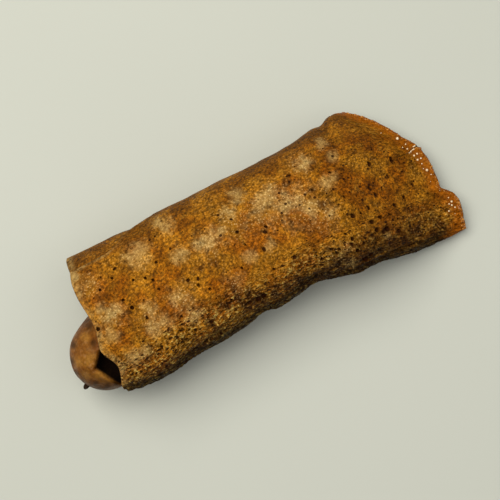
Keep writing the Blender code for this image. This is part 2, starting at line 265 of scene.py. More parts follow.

# Golden parts of the sausage's casing, and dark places of painted shade by the galette's edge and below
CASING_GOLD_PIXELS = (
    (89, 360, 8), (79, 362, 6), (106, 376, 7), (100, 374, 6), (86, 375, 6), (86, 338, 5), (112, 379, 4),
)
CASING_SHADE_PIXELS = (
    (86, 320, 7), (90, 327, 5), (73, 345, 4), (89, 388, 6), (99, 389, 6), (108, 387, 6), (116, 384, 6),
    (95, 384, 5), (112, 390, 6), (81, 381, 5), (71, 362, 4), (76, 374, 4), (93, 343, 4), (121, 379, 5),
)

# Beads of fat on the rim and filling its slit, coloured pale cream as painted glints
BEAD_PIXELS = (
    (397.4, 139.2, 1.5), (405.6, 143.7, 1.0), (403.0, 148.0, 0.9), (407.0, 148.1, 1.2), (413.7, 154.8, 1.2),
    (417.8, 154.6, 1.3), (421.1, 158.7, 0.9), (418.1, 160.3, 1.2), (422.3, 164.4, 0.8), (423.3, 167.8, 0.6),
    (427.4, 170.9, 1.4), (431.4, 175.9, 0.7), (430.8, 182.2, 0.5), (439.4, 190.0, 0.5), (448.8, 198.1, 0.9),
    (451.4, 201.4, 1.1), (449.1, 204.1, 1.0), (452.0, 205.4, 1.2), (455.0, 207.4, 0.9), (449.1, 211.3, 1.0),
    (455.0, 213.9, 0.5), (381.0, 133.0, 0.6), (361.0, 116.0, 0.5), (345.0, 112.0, 0.6), (330.0, 114.0, 0.5),
    (409.4, 152.9, 0.8), (410.4, 151.9, 0.9), (411.4, 150.8, 0.9), (412.4, 149.7, 1.0), (413.3, 148.6, 1.0),
    (414.2, 147.5, 1.0), (414.9, 146.6, 0.9),
)

# What the sheet's mesh stores for its material: places, marks of the photo with the radii between which
# they fade and how ragged they are, and broad fields
PLACES = ("inner", "from_rim", "from_mouth", "from_edge", "pore", "net")
MARKS = {
    "flour": (FLOUR_PIXELS, 0.0, 1.50, 1.5),
    "scorch_and_shade": (SCORCH_AND_SHADE_PIXELS, 0.0, 1.40, 1.5),
    "sheen_highlight": (SHEEN_HIGHLIGHT_PIXELS, 0.0, 1.30, 1.0),
    "glaze": (BEAD_PIXELS, 0.8, 4.2, 0.8),
}
FIELDS = ("far", "flank", "near", "flat", "rim")

# Small crisp bubbles that edge the rim
LACE_COUNT = 330
LACE_ANGLES = (-14.0, 176.0)
LACE_REACH = 0.0011
LACE_RADIUS = 0.00022
LACE_RADIUS_SPREAD = 0.00030

BEAD_SIDES = 10
BEAD_RINGS = 5
BEAD_FLATNESS = 0.8

# Mesh steps and relief of the sausage
SAUSAGE_SIDES = 112
SAUSAGE_STEPS = 150
CAP_STEPS = 26
CASING_LUMP = 0.00022
CASING_LUMP_SIZE = 0.0075
CASING_PLEATS = 11
CASING_PLEAT_DEPTH = 0.00038
CASING_PLEAT_REACH = 0.0045
SIDE_SHADE = 0.60
KNOT_WOBBLE = 0.00035
KNOT_WOBBLE_SIZE = 0.0016

# The photo's camera: straight down, turned about the vertical
CAMERA_HEIGHT = 0.450
CAMERA_X = -0.0008
CAMERA_Y = -0.0010
CAMERA_TURN = 26.5
SENSOR_WIDTH = 36.0
LENS = 82.5
PHOTO_SIDE = 500

FLOOR_HALF = 1.5
FLOOR_DROP = 0.0002


def ramp(low, high, value):
    """Runs smoothly from 0 at low to 1 at high."""
    share = np.clip((value - low) / (high - low), 0.0, 1.0)
    return share * share * (3.0 - 2.0 * share)


def ramps(pairs, value):
    """Ramps between each pair, multiplied."""
    return math.prod(ramp(low, high, value) for low, high in pairs)


def hump(value, middle, width):
    """A smooth hill that is 1 at its middle."""
    return np.exp(-(((value - middle) / width) ** 2))


def humps(value, row):
    """The hills of a row of (middle, width, height), added up."""
    return sum(top * hump(value, middle, width) for middle, width, top in row)


def between(keys, angle):
    """The smooth value at each angle, from (angle, value) pairs."""
    value = np.full(np.shape(angle), float(keys[-1][1]))
    for (first, low), (last, high) in reversed(list(zip(keys, keys[1:]))):
        value = np.where(angle <= last, low + (high - low) * ramp(first, last, angle), value)
    return value


def ridge_y(x):
    return RIDGE_Y - RIDGE_BEND * (x - RIDGE_BEND_X) ** 2


def far_side_y(x):
    under_layer = UNDER_LAYER * (1.0 - ramp(*UNDER_LAYER_X, x))
    bulge = FAR_BULGE * hump(x, FAR_BULGE_X, FAR_BULGE_WIDTH)
    return FAR_SIDE_Y + under_layer + bulge - humps(x, FAR_CREASES)


def near_side_y(x):
    return NEAR_SIDE_Y + humps(x, NEAR_DENTS) - NEAR_FLARE * ramp(*FALL_X, x)


def height(x):
    return FULL_HEIGHT + (FLAT_HEIGHT - FULL_HEIGHT) * ramp(*FALL_X, x)


def part_of_axis(amount, power):
    """A superellipse's cosine or sine."""
    return np.copysign(np.abs(amount) ** (2.0 / power), amount)


def noise_at(places):
    """Blender's own noise, from -1 to 1, at each row of places."""
    values = [noise.noise(place) for place in places.reshape(-1, 3).tolist()]
    return np.array(values).reshape(places.shape[:-1])


def swelling(x, angle):
    """How far the part's own relief swells outwards."""
    x, angle = np.broadcast_arrays(x, angle)
    turn = np.radians(angle)
    places = np.stack([x, DRUM_RADIUS * np.cos(turn), DRUM_RADIUS * np.sin(turn)], axis=-1)
    return sum(reach * (0.5 + 0.5 * noise_at(places / size)) for reach, size in LUMPS)


def section_point(x, angle):
    """y and z of the sheet's outer face."""
    turn = np.radians(angle)
    cosine = np.cos(turn)
    sine = np.sin(turn)
    layers = ramp(STEP_IN_FROM, STEP_IN_TO, angle) + ramp(STEP_IN_FROM, STEP_IN_TO, angle - 360.0)
    lowest = PITCH * layers
    slope = (height(x + SMALL_STEP) - height(x - SMALL_STEP)) / (2 * SMALL_STEP)
    depth = lowest * np.hypot(1.0, SLOPE_SPACING * slope) - swelling(x, angle)
    far = np.where(angle > LOOSE_FROM, LOOSE_REACH, far_side_y(x) - ridge_y(x) - depth)
    near = ridge_y(x) - near_side_y(x) - depth
    half_height = height(x) / 2 + FLAT_DEPTH - depth
    power = np.where(sine < 0, BOTTOM_POWER, np.where(cosine > 0, TOP_FAR_POWER, TOP_NEAR_POWER))
    y = ridge_y(x) + np.where(cosine > 0, far, near) * part_of_axis(cosine, power)
    z = height(x) / 2 + half_height * part_of_axis(sine, power)
    return y, np.maximum(z, lowest)


def rim_x(angle):
    """Where the sheet ends at the flat end."""
    reach = RIM_CORNER_Y - far_side_y(FAR_BULGE_X)
    y = section_point(np.full(np.shape(angle), FAR_BULGE_X), angle)[0]
    y = np.where(angle < 0, far_side_y(FAR_BULGE_X) + reach * angle / OUTER_EDGE, y)
    y = np.minimum(y, RIM_CORNER_Y)
    arc = RIM_CENTRE_X + np.sqrt(RIM_RADIUS**2 - (y - RIM_CENTRE_Y) ** 2)
    bay_width = np.where(y > BAY_Y, BAY_WIDTH, BAY_WIDTH_TO_TIP)
    seen = arc - BAY_DEPTH * hump(y, BAY_Y, bay_width) - humps(y, RIM_DENTS)
    return np.where(angle > 180, between(RIM_WITHIN, angle), seen)


def mouth_x(angle):
    """Where the sheet ends at the sausage's end."""
    y, z = section_point(np.full(np.shape(angle), MOUTH_X), angle)
    lean = MOUTH_LEAN * (z - height(MOUTH_X) / 2)
    corner = MOUTH_CORNER * ramp(*MOUTH_CORNER_Y, y)
    near = MOUTH_NEAR * ramp(*MOUTH_NEAR_Y, y)
    seen = MOUTH_X + corner + near + humps(y, MOUTH_DENTS)
    return np.where(angle > 180, between(MOUTH_WITHIN, angle), seen) + lean


def sheet_points(row_angles, shares):
    """The outer face's points on every row, at shares of each row's length from the mouth."""
    row = row_angles[:, None]
    share = shares[None, :]
    end = rim_x(row_angles)
    frayed = RAG * layered_noise(row_angles / RAG_TURN, 0.0 * row_angles, SEED + 5) ** 2
    end = (end - EDGE_ROUND - frayed * (row_angles < SEEN_TO))[:, None]
    start = mouth_x(row_angles)[:, None]
    x = start + share * (end - start)
    rise = OUTER_EDGE_RISE * (1.0 - ramp(*OUTER_EDGE_RISE_X, x))
    angle = row + rise * (1.0 - ramp(OUTER_EDGE, OUTER_EDGE + OUTER_EDGE_FADE, row))
    start = mouth_x(angle) + EDGE_ROUND
    x = start + share * (end - start)
    torn = np.maximum(0.0, 1.0 - np.abs(row - SLIT_ANGLE) / SLIT_HALF_ANGLE)
    x = x + (humps(row, SLIT_LIP) - SLIT_DEPTH * torn) * ramp(SLIT_SHARE, 1.0, share)
    slant = SLIT_SLANT * hump(row, SLIT_ANGLE, SLIT_SLANT_WIDTH)
    angle = angle - slant * ramp(end - SLIT_SLANT_FROM, end, x)
    y, z = section_point(x, angle)
    from_rim = np.maximum(0.0, 1.0 - (rim_x(row_angles)[:, None] - x) / RIM_CURL_WIDTH)
    curl = RIM_CURL * from_rim**2 * np.maximum(0.0, np.sin(np.radians(angle)))
    z = z + np.where(angle < RIM_CURL_TO, curl, 0.0)
    points = np.stack([x, y, z], axis=-1) + ORIGIN_SHIFT
    return points, np.broadcast_to(angle, x.shape), end - x, x - start


def hashed(phase, stretch):
    """A draw from 0 to 1 for each phase."""
    mixed = np.sin(phase) * stretch
    return mixed - np.floor(mixed)


def drawn_noise(u, v, seed):
    """Smooth noise from 0 to 1 on a plane, drawn at its whole-number corners."""

    def corner(i, j):
        return hashed(i * 127.1 + j * 311.7 + seed * 74.7, 43758.5453)

    i = np.floor(u)
    j = np.floor(v)
    a = ramp(0.0, 1.0, u - i)
    b = ramp(0.0, 1.0, v - j)
    low = corner(i, j) * (1.0 - a) + corner(i + 1, j) * a
    high = corner(i, j + 1) * (1.0 - a) + corner(i + 1, j + 1) * a
    return low * (1.0 - b) + high * b


def layered_noise(u, v, seed, layers=3):
    """Smooth noise with finer and fainter layers added, from 0 to 1."""
    total = 0.0
    weight = 0.0
    for layer in range(layers):
        share = 0.5**layer
        total = total + share * drawn_noise(u * 2.0**layer, v * 2.0**layer, seed + 17 * layer)
        weight += share
    return total / weight


def bubbles(u, v, seed):
    """A honeycomb that is 0 in the middle of each cell and 1 on the walls between cells."""
    nearest = np.full(np.shape(u), 9.0)
    second = nearest
    for across, along in itertools.product((-1, 0, 1), repeat=2):
        i = np.floor(u) + across
        j = np.floor(v) + along
        phase = i * 269.5 + j * 183.3
        aside = hashed(phase + seed * 53.1, 28001.83)
        ahead = hashed(phase + (seed + 7) * 53.1, 28001.83)
        gap = np.hypot(i + aside - u, j + ahead - v)
        second = np.minimum(second, np.maximum(gap, nearest))
        nearest = np.minimum(nearest, gap)
    return 1.0 - np.clip((second - nearest) / 0.6, 0.0, 1.0)


def photo_pixels(points):
    """Where the photo's camera sees each point: pixels across and down."""
    scale = LENS / SENSOR_WIDTH * PHOTO_SIDE / (CAMERA_HEIGHT - points[..., 2])
    turn = math.radians(CAMERA_TURN)
    x = points[..., 0] - CAMERA_X
    y = points[..., 1] - CAMERA_Y
    right = x * math.cos(turn) - y * math.sin(turn)
    up = x * math.sin(turn) + y * math.cos(turn)
    return PHOTO_SIDE / 2 + scale * right, PHOTO_SIDE / 2 - scale * up


def marks(points, angle, spots, inner, outer, raggedness=0.0):
    """1 at spots of the photo, falling to 0 from inner to outer times their radius, on the upper side."""
    across, down = photo_pixels(points)
    level = np.zeros(points.shape[:-1])
    upper = (angle > 0) & (angle < SEEN_TO)
    ragged = layered_noise(across / 4.5, down / 4.5, SEED + 20, 4) - 0.5
    for spot_across, spot_down, radius in spots:
        gap = np.hypot(across - spot_across, down - spot_down) / radius + raggedness * ragged
        level = np.maximum(level, upper * (1.0 - ramp(inner, outer, gap)))
    return level


def fields(points, angle, from_rim):
    """Broad fields from 0 to 1: the dark far side, the near flank with its painted shade, the near slope, the
    flat end, the rim.
    """
    x = points[..., 0]
    shifted = angle + WANDER * (layered_noise(x / 0.016, angle / 16.0, SEED + 30) - 0.5)
    under = 0.9 * ramp(*UNDER_ANGLES, shifted) * (angle < STEP_IN_TO)
    far = np.maximum(ramp(*FAR_ANGLES, shifted), np.maximum(ramps(FLAP_ANGLES, angle), under))
    # Painted shade on the near slope towards the flat end, joined to the flank
    shaded = 0.75 * ramps(SHADED_X, x) * ramp(*SHADED_ANGLES, shifted)
    flank = np.maximum(ramp(*FLANK_FROM, shifted), shaded) * ramp(*FLANK_TO, shifted)
    near = ramps(NEAR_ANGLES, shifted) * (1.0 - 0.55 * ramp(*NEAR_FADE_X, x))
    flat = ramp(*FLAT_X, x) * ramp(*FLAT_ANGLES, shifted) * (angle < STEP_IN_TO)
    width = RIM_BAND + (RIM_BAND_AT_TIP - RIM_BAND) * ramp(*TIP_ANGLES, angle)
    width = width * (0.7 + 0.6 * layered_noise(x / 0.004, angle / 5.0, SEED + 31))
    rim = 1.0 - ramp(0.35, 1.10, from_rim / width)
    return far, flank, near, flat, rim


def grid_normals(points):
    """Outward unit normals of a grid of points whose rows go round the roll."""
    normals = np.cross(np.gradient(points, axis=0), np.gradient(points, axis=1))
    length = np.linalg.norm(normals, axis=-1, keepdims=True)
    return normals / np.maximum(length, 1e-12)


def arc_lengths(points, start):
    """The length of sheet from the start row to each grid point."""
    steps = np.linalg.norm(np.diff(points, axis=0), axis=-1)
    reached = np.concatenate([np.zeros((1, points.shape[1])), np.cumsum(steps, axis=0)])
    return reached - reached[start]


def fine_relief(points, angle, arc, far, flank, near, flat, rim):
    """How far the fine relief lifts the surface, and its large pores and crinkled net from 0 to 1."""
    x = points[..., 0]
    dimples = layered_noise(x / DIMPLE_SIZE, arc / DIMPLE_SIZE, SEED) - 0.5
    bend = BEND * layered_noise(x / BEND_SIZE, arc / BEND_SIZE, SEED + 9)
    streak = layered_noise(x / WRINKLE_LENGTH, (arc + bend) / WRINKLE_WIDTH, SEED + 1, 3)
    wrinkles = 1.0 - np.abs(2.0 * streak - 1.0) * WRINKLE_SHARPNESS
    drift = COMB_DRIFT * layered_noise(x / 0.0050, arc / 0.0040, SEED + 12)
    skew = COMB_DRIFT * layered_noise(x / 0.0045, arc / 0.0045, SEED + 13)
    u = x / COMB_LENGTH + drift
    v = (arc + 0.5 * bend) / COMB_WIDTH + skew
    net = 0.55 * bubbles(u, v, SEED + 3) + 0.45 * bubbles(2.1 * u, 1.8 * v, SEED + 6)
    grains = layered_noise(x / GRAIN_SIZE, arc / GRAIN_SIZE, SEED + 4, 2) - 0.5
    pits = marks(points, angle, PORE_PIXELS, 0.30, 1.15, 0.9)
    lift = DIMPLE * dimples * (1.0 - 0.6 * far) + WRINKLE * (wrinkles - 0.5) * (0.08 + 0.92 * flank)
    opened = np.clip(near + 0.6 * flat, 0.0, 1.0)
    crinkle = COMB * (net - 0.5) * (0.12 + 0.88 * opened) * (1.0 - 0.6 * rim) + GRAIN * grains
    lift = lift + crinkle * ramp(218.0, SEEN_TO, angle)
    return lift - PORE_DEPTH * pits - RELIEF_SINK - FLANK_SINK * flank, pits, net


def zipped(first, second, first_at, second_at):
    """Triangles that join two open lines of vertices by their places along the line."""
    faces = []
    i = j = 0
    while i < len(first) - 1 or j < len(second) - 1:
        if j == len(second) - 1 or (i < len(first) - 1 and first_at[i + 1] <= second_at[j + 1]):
            faces.append((first[i], first[i + 1], second[j]))
            i += 1
        else:
            faces.append((first[i], second[j + 1], second[j]))
            j += 1
    return faces


def quads(numbers):
    """The faces of a grid of vertex numbers."""
    corners = (numbers[:-1, :-1], numbers[1:, :-1], numbers[1:, 1:], numbers[:-1, 1:])
    return np.stack(corners, axis=-1).reshape(-1, 4).tolist()


def capped_rings(first, count, sides):
    """The faces of a pole, rings and a far pole whose vertices are numbered in that order."""
    numbers = first + 1 + np.arange(count * sides).reshape(count, sides)
    looped = np.concatenate([numbers, numbers[:, :1]], axis=1)
    faces = quads(looped)
    for step in range(sides):
        faces.append((first, looped[0, step], looped[0, step + 1]))
        faces.append((looped[-1, step], looped[-1, -2] + 1, looped[-1, step + 1]))
    return faces


def border(grids):
    """The numbers round the outside of grids that follow each other, from the first corner."""
    top = list(grids[0][0, :-1])
    far_ends = [number for grid in grids for number in grid[:, -1]]
    bottom = list(grids[-1][-1, ::-1][1:-1])
    near_ends = [number for grid in reversed(grids) for number in grid[::-1, 0]]
    return top + far_ends + bottom + near_ends[:-1]


def border_places(rows, columns_by_grid):
    """A place from 0 to 4 for each number that border gives, alike for fine and coarse grids."""
    angles = np.concatenate(rows)
    down = (angles - OUTER_EDGE) / (INNER_EDGE - OUTER_EDGE)
    top = list(columns_by_grid[0][:-1])
    bottom = list(3.0 - columns_by_grid[-1][::-1][1:-1])
    return top + list(1.0 + down) + bottom + list(4.0 - down[::-1])[:-1]


def eased_shares(count):
    even = np.linspace(0.0, 1.0, count + 1)
    return (even + (1.0 - np.cos(math.pi * even)) / 2) / 2


def seen_rows():
    """Row angles of the outer winding, with close rows at the slit."""
    rows = np.linspace(OUTER_EDGE, SEEN_TO, SEEN_ROWS)
    slit = SLIT_ANGLE + SLIT_ROW_STEP * np.arange(-SLIT_ROWS, SLIT_ROWS + 1)
    rows = rows[np.abs(rows - SLIT_ANGLE) > SLIT_ROW_STEP * (SLIT_ROWS + 1)]
    under = np.linspace(SEEN_TO, STEP_IN_FROM, UNDER_ROWS + 1)[1:]
    return np.sort(np.concatenate([rows, slit, under]))


def add_object(name, data, place, turn=(0.0, 0.0, 0.0)):
    made = bpy.data.objects.new(name, data)
    made.location = place
    made.rotation_euler = turn
    scene.collection.objects.link(made)
    return made


def mesh_object(name, points, faces, look, place=(0.0, 0.0, 0.0)):
    mesh = bpy.data.meshes.new(name)
    mesh.from_pydata(points, [], [[int(number) for number in face] for face in faces])
    mesh.materials.append(look)
    mesh.shade_smooth()
    return add_object(name, mesh, place)


def mesh_piece(name, points, faces, look):
    made = mesh_object(name, points, faces, look)
    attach(made, "root")
    return made


def add_measure(piece, name, values):
    """Stores one number, or one place, for each vertex, for the material to read."""
    kind = "FLOAT" if values.ndim == 1 else "FLOAT_VECTOR"
    stored = piece.data.attributes.new(name, kind, "POINT")
    stored.data.foreach_set("value" if kind == "FLOAT" else "vector", values.astype(np.float32).ravel())


def make_galette():
    """The wound sheet as one closed mesh: fine outer face, coarse inner windings and inner face."""
    fine_rows = seen_rows()
    fine_shares = eased_shares(FINE_COLUMNS)
    coarse_shares = fine_shares[::COLUMN_RATIO]
    middle = np.linspace(STEP_IN_FROM, MIDDLE_TO, MIDDLE_ROWS + 1)[1:]
    within = np.linspace(MIDDLE_TO, INNER_EDGE, WITHIN_ROWS + 1)[1:]
    coarse_rows = np.concatenate([middle, within])
    inside_rows = np.linspace(OUTER_EDGE, INNER_EDGE, INSIDE_ROWS + 1)

    vertices = []
    tables = []

    def keep(points, angle, arc, rim, mouth, edge=1.0, pits=0.0, net=0.5, inner=0.0):
        """Stores a grid's vertices and measures, and gives the vertices' numbers."""
        first = sum(len(block) for block in vertices)
        vertices.append(points.reshape(-1, 3))
        spots = [marks(points, angle, *mark) for mark in MARKS.values()]
        broad = fields(points, angle, rim)
        values = (inner, rim, mouth, edge, pits, net, *spots, *broad, points[..., 0], arc)
        tables.append(np.stack([np.broadcast_to(value, angle.shape).ravel() for value in values], axis=-1))
        return first + np.arange(angle.size).reshape(angle.shape)

    base, angle, rim, mouth = sheet_points(fine_rows, fine_shares)
    seen_angle = angle
    normals = grid_normals(base)
    arc = arc_lengths(base, np.argmin(np.abs(fine_rows - 90.0)))
    lift, pits, net = fine_relief(base, angle, arc, *fields(base, angle, rim))
    fade = ramp(STEP_IN_FROM, STEP_IN_FROM - 12.0, angle)
    outer = np.clip(base + normals * (lift * fade)[..., None], *cad_box)
    last_arc = arc[-1, ::COLUMN_RATIO]
    fine = keep(outer, angle, arc, rim, mouth, arc - arc[0], pits * fade, net)

    base, angle, rim, mouth = sheet_points(coarse_rows, coarse_shares)
    step_over = np.linalg.norm(base[0] - outer[-1, ::COLUMN_RATIO], axis=-1)
    arc = arc_lengths(base, 0) + last_arc + step_over
    coarse = keep(base, angle, arc, rim, mouth)

    base, angle, rim, mouth = sheet_points(inside_rows, coarse_shares)
    thickness = np.full(angle.shape, SHEET)
    thickness[[0, -1]] = SHEET * RIM_SHARE
    thickness[:, [0, -1]] = SHEET * RIM_SHARE
    inside_points = base - grid_normals(base) * thickness[..., None]
    inside = keep(inside_points, angle, arc_lengths(base, 0), rim, mouth, inner=1.0)

    so_far = np.concatenate(vertices)
    outer_border = border([fine, coarse])
    outer_at = border_places([fine_rows, coarse_rows], [fine_shares, coarse_shares])
    inner_loop = border([inside])
    inner_loop.append(inner_loop[0])
    inner_loop_at = border_places([inside_rows], [coarse_shares]) + [4.0]
    across = np.array([np.interp(outer_at, inner_loop_at, column) for column in so_far[inner_loop].T]).T
    rounded = border_outwards(fine, coarse, so_far) * EDGE_ROUND
    vertices.append(np.clip((so_far[outer_border] + across) / 2 + rounded, *cad_box))
    ring = len(so_far) + np.arange(len(outer_border))
    tables.append(np.concatenate(tables)[outer_border])
    tables[-1][:, 0] = 0.5

    walls = np.array([outer_border + outer_border[:1], list(ring) + [ring[0]]])
    turned = quads(inside) + quads(walls) + zipped(fine[-1], coarse[0], fine_shares, coarse_shares)
    faces = quads(fine) + quads(coarse) + [face[::-1] for face in turned]
    faces += zipped(walls[1], inner_loop, outer_at + [4.0], inner_loop_at)

    piece = mesh_piece("galette_crust", np.concatenate(vertices).tolist(), faces, batter_look())
    table = np.concatenate(tables)
    add_measure(piece, "sheet", np.pad(table[:, -2:], ((0, 0), (0, 1))))
    for name, column in zip((*PLACES, *MARKS, *FIELDS), table.T):
        add_measure(piece, name, column)
    return piece, outer, normals, seen_angle


def border_outwards(fine, coarse, points):
    """Unit vectors that point off the sheet, for each number that border gives."""
    inward = {}
    lines = [(grid[:, end], grid[:, beside]) for grid in (fine, coarse) for end, beside in ((-1, -2), (0, 1))]
    for line, beside in lines + [(fine[0], fine[1]), (coarse[-1], coarse[-2])]:
        for number, neighbour in zip(line, beside):
            inward.setdefault(number, []).append(neighbour)
    outward = []
    for number in border([fine, coarse]):
        direction = (points[number] - points[inward[number]]).sum(axis=0)
        outward.append(direction / np.linalg.norm(direction))
    return np.array(outward)


def sausage_axis(x):
    """The sausage's axis: it runs under the ridge, and its tip bends towards -Y and droops."""
    aside = humps(x, SAUSAGE_ASIDE) - TIP_BEND * np.maximum(0.0, TIP_BEND_X - x) ** 2
    droop = TIP_DROOP * ramp(TAPER_FROM_X, SAUSAGE_TIP_X, x)
    return np.array([x, ridge_y(x) + aside, FULL_HEIGHT / 2 - droop])


def sausage_stations():
    """The first pole, the knot's end, and the centre, direction and radius of each ring between them."""
    stations = []
    for x in np.linspace(SAUSAGE_END_X, SAUSAGE_TIP_X, SAUSAGE_STEPS + 1):
        heading = sausage_axis(x - SMALL_STEP) - sausage_axis(x + SMALL_STEP)
        heading /= np.linalg.norm(heading)
        slimmer = ramp(TAPER_FROM_X, SAUSAGE_TIP_X, x) * (SAUSAGE_RADIUS - SAUSAGE_TIP_RADIUS)
        stations.append((sausage_axis(x), heading, SAUSAGE_RADIUS - slimmer))
    first, first_heading, first_radius = stations[0]
    last, last_heading, last_radius = stations[-1]
    for turn in math.pi / 2 * np.arange(1, CAP_STEPS) / CAP_STEPS:
        back = first - first_heading * first_radius * math.sin(turn)
        ahead = last + last_heading * last_radius * math.sin(turn)
        stations.insert(0, (back, first_heading, first_radius * math.cos(turn)))
        stations.append((ahead, last_heading, max(last_radius * math.cos(turn), KNOT_RADIUS)))
    for share in (0.25, 0.5, 0.75, 0.95):
        centre = last + last_heading * (last_radius + KNOT_LENGTH * share)
        stations.append((centre, last_heading, KNOT_RADIUS * (1.0 - 0.55 * share**3)))
    return first - first_heading * first_radius, last + last_heading * (last_radius + KNOT_LENGTH), stations


def dent(x, y):
    """How deep the dent at the mouth reaches below the casing's upper side."""
    aside = y - DENT_TIP_Y
    slope = np.where(aside > 0, DENT_FAR_SLOPE, DENT_NEAR_SLOPE)
    inside = ramp(0.0, DENT_WALL, x - DENT_TIP_X - slope * np.abs(aside))
    return DENT_DEPTH * inside * (1.0 - ramp(*DENT_FADE_X, x))


def make_sausage():
    start, knot, stations = sausage_stations()
    turns = 2 * math.pi * np.arange(SAUSAGE_SIDES) / SAUSAGE_SIDES
    upper = np.maximum(0.0, np.sin(turns))
    rings = []
    sunk = []
    for centre, heading, radius in stations:
        side = np.array([heading[1], -heading[0], 0.0])
        side /= np.linalg.norm(side)
        up = np.cross(side, heading)
        up *= math.copysign(1.0, up[2])
        to_knot = np.linalg.norm(knot - centre)
        spokes = side * np.cos(turns)[:, None] + up * np.sin(turns)[:, None]
        ring = centre + spokes * radius
        lump = noise_at(ring / CASING_LUMP_SIZE) - 0.6
        pleat = np.cos(turns * CASING_PLEATS + 1.3 * np.sin(turns * 2)) - 1.0
        pleat = CASING_PLEAT_DEPTH / 2 * pleat * hump(to_knot, KNOT_LENGTH + 0.001, CASING_PLEAT_REACH)
        wobble = KNOT_WOBBLE * (noise_at(ring / KNOT_WOBBLE_SIZE) - 0.5) * (radius <= KNOT_RADIUS)
        depth = dent(ring[:, 0], ring[:, 1]) * upper
        ring = ring + spokes * (CASING_LUMP * lump + pleat + wobble)[:, None]
        ring[:, 2] -= depth
        rings.append(ring)
        sunk.append(depth / DENT_DEPTH / np.maximum(upper, 0.3))
    points = np.concatenate([[start], *rings, [knot]]) + ORIGIN_SHIFT
    faces = capped_rings(0, len(stations), SAUSAGE_SIDES)
    piece = mesh_piece("grilled_sausage", points.tolist(), faces, casing_look())
    add_measure(piece, "from_knot", np.linalg.norm(points - points[-1], axis=1))
    facing = np.array([normal.vector for normal in piece.data.vertex_normals])
    upper = ramp(0.10, 0.45, facing[:, 2])
    # Painted shade on the side that faces away from the lights
    grilled = SIDE_SHADE * ramp(0.30, 0.85, -facing[:, 1] - 0.5 * facing[:, 0])
    top = np.full(len(points), 90.0)
    add_measure(piece, "golden", upper * marks(points, top, CASING_GOLD_PIXELS, 0.0, 1.5, 1.2))
    # Painted shade at the dark places, joined to the side's painted shade
    painted_shade = upper * marks(points, top, CASING_SHADE_PIXELS, 0.0, 1.5, 1.2)
    add_measure(piece, "painted_shade", np.maximum(painted_shade, grilled))
    add_measure(piece, "sunk", np.concatenate([[0.0], *sunk, [0.0]]))
    return piece


def make_beads(name, beads, look):
    """Closed beads of (centre, normal, radius), a little flattened along their normals."""
    points = []
    faces = []
    turns = 2 * math.pi * np.arange(BEAD_SIDES) / BEAD_SIDES
    for centre, normal, radius in beads:
        side = np.cross(normal, [0.0, 1.0, 0.0])
        side /= np.linalg.norm(side)
        other = np.cross(normal, side)
        spokes = radius * (side * np.cos(turns)[:, None] + other * np.sin(turns)[:, None])
        rise = normal * radius * BEAD_FLATNESS
        faces += capped_rings(len(points), BEAD_RINGS - 1, BEAD_SIDES)
        points.append(centre + rise)
        for lean in math.pi * np.arange(1, BEAD_RINGS) / BEAD_RINGS:
            points.extend(centre + spokes * math.sin(lean) + rise * math.cos(lean))
        points.append(centre - rise)
    return mesh_piece(name, points, faces, look)


def make_droplets(surface, normals):
    """Small glossy beads of fat that sit on the rim's upper face, coloured pale cream as painted glints."""
    across, down = photo_pixels(surface)
    hidden = np.where(normals[..., 2] > 0.2, 0.0, PHOTO_SIDE)
    draw = np.random.default_rng(SEED + 40)
    beads = []
    for bead_across, bead_down, radius in BEAD_PIXELS:
        gap = np.hypot(across - bead_across, down - bead_down) + hidden
        at = np.unravel_index(np.argmin(gap), gap.shape)
        pixel = (CAMERA_HEIGHT - surface[at][2]) * SENSOR_WIDTH / (LENS * PHOTO_SIDE)
        beads.append((surface[at], normals[at], radius * draw.uniform(0.75, 1.05) * pixel))
    look = mottled_look("fat_glint", (0.0012, 2.0), 0.15, FAT_GLINT_TONES, 0.16)
    return make_beads("fat_glint_beads", beads, look)


def make_lace(surface, normals, angles):
    """The crisp bubbles that edge the rim: amber to dark orange, glossy."""
    draw = np.random.default_rng(SEED)
    low, high = np.array(cad_box)
    rows = np.flatnonzero((angles[:, -1] > LACE_ANGLES[0]) & (angles[:, -1] < LACE_ANGLES[1]))
    beads = []
    for _ in range(LACE_COUNT):
        row = draw.choice(rows[:-1])
        between_rows = draw.uniform(0.0, 1.0)
        depth = LACE_REACH * draw.uniform(0.0, 1.0) ** 1.5
        line = surface[row] * (1.0 - between_rows) + surface[row + 1] * between_rows
        reached = np.linalg.norm(line - line[-1], axis=-1)
        column = np.argmin(np.abs(reached - depth))
        radius = LACE_RADIUS + LACE_RADIUS_SPREAD * draw.uniform(0.0, 1.0) ** 2
        inwards = normals[row, column] * radius * draw.uniform(0.1, 0.8)
        centre = np.clip(line[column] - inwards, low + radius, high - radius)
        beads.append((centre, normals[row, column], radius))
    look = mottled_look("crisp_lace", (0.0011, 3.0, 0.60), 0.16, LACE_TONES, 0.20, 0.45)
    return make_beads("rim_lace", beads, look)


# The colour sockets of Blender's Mix node, by number
MIX_SHARE = 0
MIX_FIRST = 6
MIX_SECOND = 7
MIX_RESULT = 2


